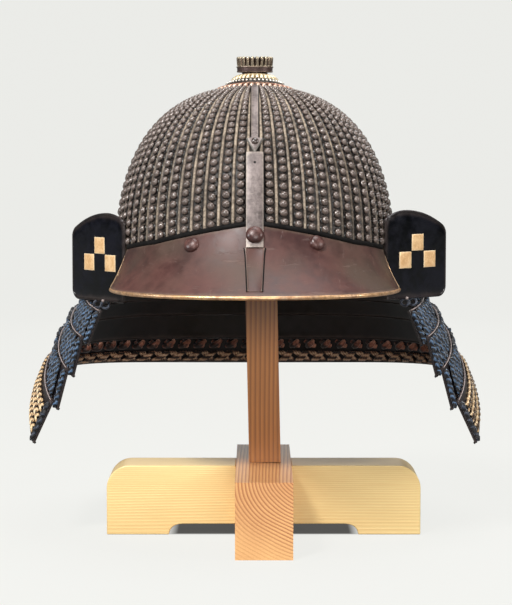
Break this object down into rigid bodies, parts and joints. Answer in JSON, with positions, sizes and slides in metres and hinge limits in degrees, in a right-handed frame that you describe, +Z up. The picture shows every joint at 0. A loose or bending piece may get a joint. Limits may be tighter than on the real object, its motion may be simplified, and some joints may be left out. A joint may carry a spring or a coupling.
{
  "type": "samurai helmet on a wooden stand",
  "caption": "Kabuto: studded iron bowl with a visor, turn-back wings and a flared laced neck guard, standing on a plain wooden cross stand with a post.",
  "frame": {"origin": "middle of the bounding box at its base, on the surface that the stand rests on", "axes": "+Z up; the face opening and the visor look towards -Y; +X is to the right as seen from the front"},
  "size_m": [0.4312, 0.3864, 0.4564],
  "materials": {
    "russet_iron": "russet iron with raised ridges and studs, dull sheen, worn lighter on the ridges",
    "russet_visor": "russet lacquer over iron, semi-gloss, scratched",
    "gilt": "gilt, worn, satin",
    "copper": "copper, satin, darkened in its hollows",
    "dark_bronze": "dark patinated bronze, satin",
    "silver_beads": "beaded silvery ring, dark between its beads",
    "black_lacquer": "black lacquer over iron, glossy, worn brown at the edges",
    "blue_silk": "braided silk lacing, matt with a soft sheen",
    "pine": "pine, clear satin finish"
  },
  "bodies": {
    "root": {"bowl": "russet_iron", "front_strip": "russet_iron", "front_plate": "russet_iron", "visor_rivet_centre": "russet_iron", "crown_copper_petals": "copper", "crown_bead_ring": "silver_beads", "crown_gilt_petals": "gilt", "crown_collar": "gilt", "visor_rim": "gilt", "crown_band": "dark_bronze", "visor": "russet_visor", "visor_rivet_left": "russet_visor", "visor_rivet_right": "russet_visor", "waist_band": "black_lacquer", "lame_1": "black_lacquer", "lame_2": "black_lacquer", "lame_3": "black_lacquer", "lame_4": "black_lacquer", "lame_5": "black_lacquer", "wing_left": "black_lacquer", "wing_right": "black_lacquer", "lacing_1": "blue_silk", "lacing_2": "blue_silk", "lacing_3": "blue_silk", "lacing_4": "blue_silk", "wing_left_square_inner": "gilt", "wing_left_square_top": "gilt", "wing_left_square_outer": "gilt", "wing_right_square_inner": "gilt", "wing_right_square_top": "gilt", "wing_right_square_outer": "gilt", "cross_rail": "pine", "foot_beam": "pine", "post": "pine"}
  },
  "joints": []
}
